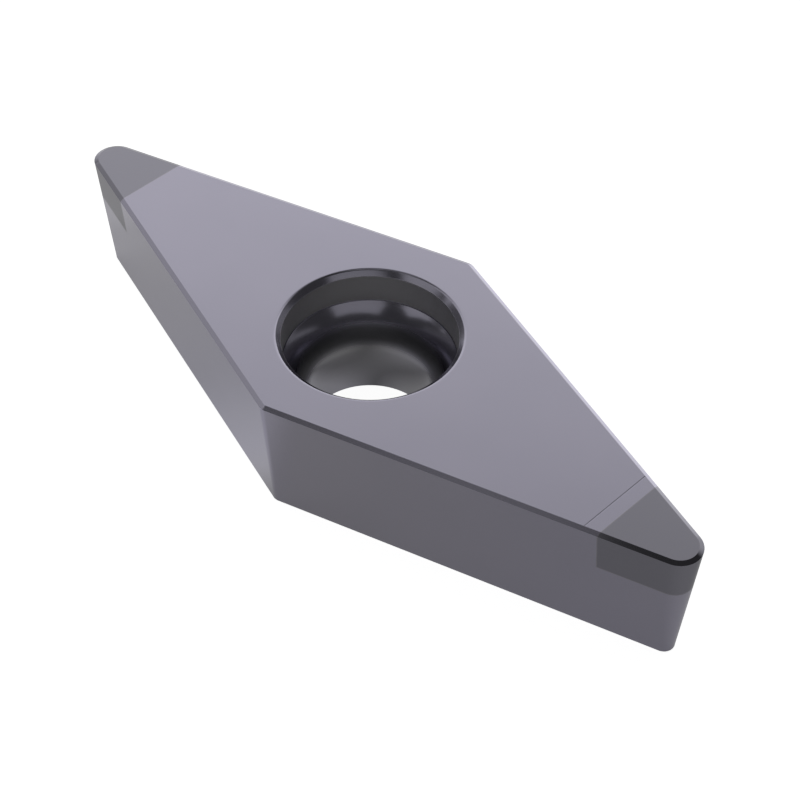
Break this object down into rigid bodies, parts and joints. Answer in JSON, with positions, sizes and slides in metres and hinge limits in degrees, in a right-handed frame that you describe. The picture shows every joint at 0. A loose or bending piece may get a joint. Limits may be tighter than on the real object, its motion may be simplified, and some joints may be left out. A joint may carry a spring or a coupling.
{
  "type": "carbide insert",
  "caption": "Flat-topped 35 degree rhombic turning insert with a screw hole, relieved flanks, a narrow edge land and a brazed superhard tip at each sharp corner.",
  "frame": {"origin": "middle of the screw hole on the flat seat face", "axes": "+X along the long diagonal to the sharp corner with the fine line, +Y along the short diagonal, +Z out of the rake face along the screw hole"},
  "size_m": [0.028, 0.01, 0.0048],
  "materials": {
    "coated_carbide": "smooth satin grey coating with a faint violet cast over tungsten carbide",
    "superhard_tip": "fine ground dark grey boron nitride compact",
    "braze": "ground flush grey silver braze"
  },
  "bodies": {
    "root": {"carbide_body": "coated_carbide", "cutting_tip_right": "superhard_tip", "cutting_tip_left": "superhard_tip", "braze_film_right": "braze", "braze_film_left": "braze"}
  },
  "joints": []
}
